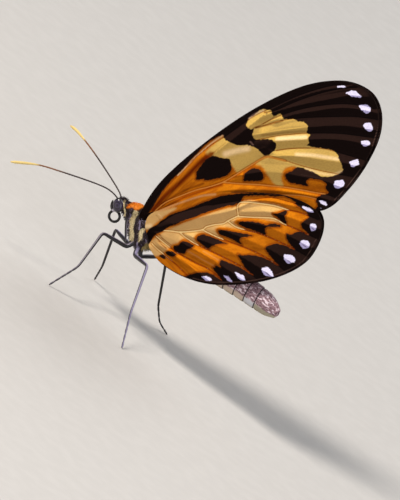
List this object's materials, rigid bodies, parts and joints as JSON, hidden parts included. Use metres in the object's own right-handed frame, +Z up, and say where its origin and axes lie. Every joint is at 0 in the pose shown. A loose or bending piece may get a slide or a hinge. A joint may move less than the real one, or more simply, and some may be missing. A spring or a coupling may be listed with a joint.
{
  "type": "polymnia tigerwing butterfly",
  "caption": "Life-size still butterfly with striped wings closed over its back, standing on its four walking legs.",
  "frame": {"origin": "on the floor, under the middle of the bounding box", "axes": "+X towards the tail, -Y towards the butterfly's left side, +Z up; the head faces -X"},
  "size_m": [0.0406, 0.0218, 0.0464],
  "materials": {
    "wing": "satin",
    "scales_dark": "matte",
    "scales_orange": "matte",
    "abdomen": "satin",
    "eye": "gloss",
    "horn": "satin"
  },
  "bodies": {
    "root": {"head": "scales_dark", "eye_left": "eye", "eye_right": "eye", "palp_left": "scales_dark", "palp_right": "scales_dark", "proboscis": "horn", "antenna_left": "horn", "antenna_right": "horn", "prothorax": "scales_dark", "collar": "scales_orange", "thorax": "scales_dark", "abdomen": "abdomen", "forewing_left": "wing", "forewing_right": "wing", "hindwing_left": "wing", "hindwing_right": "wing", "foreleg_left": "horn", "foreleg_right": "horn", "midleg_left": "horn", "midleg_right": "horn", "hindleg_left": "horn", "hindleg_right": "horn"}
  },
  "joints": []
}
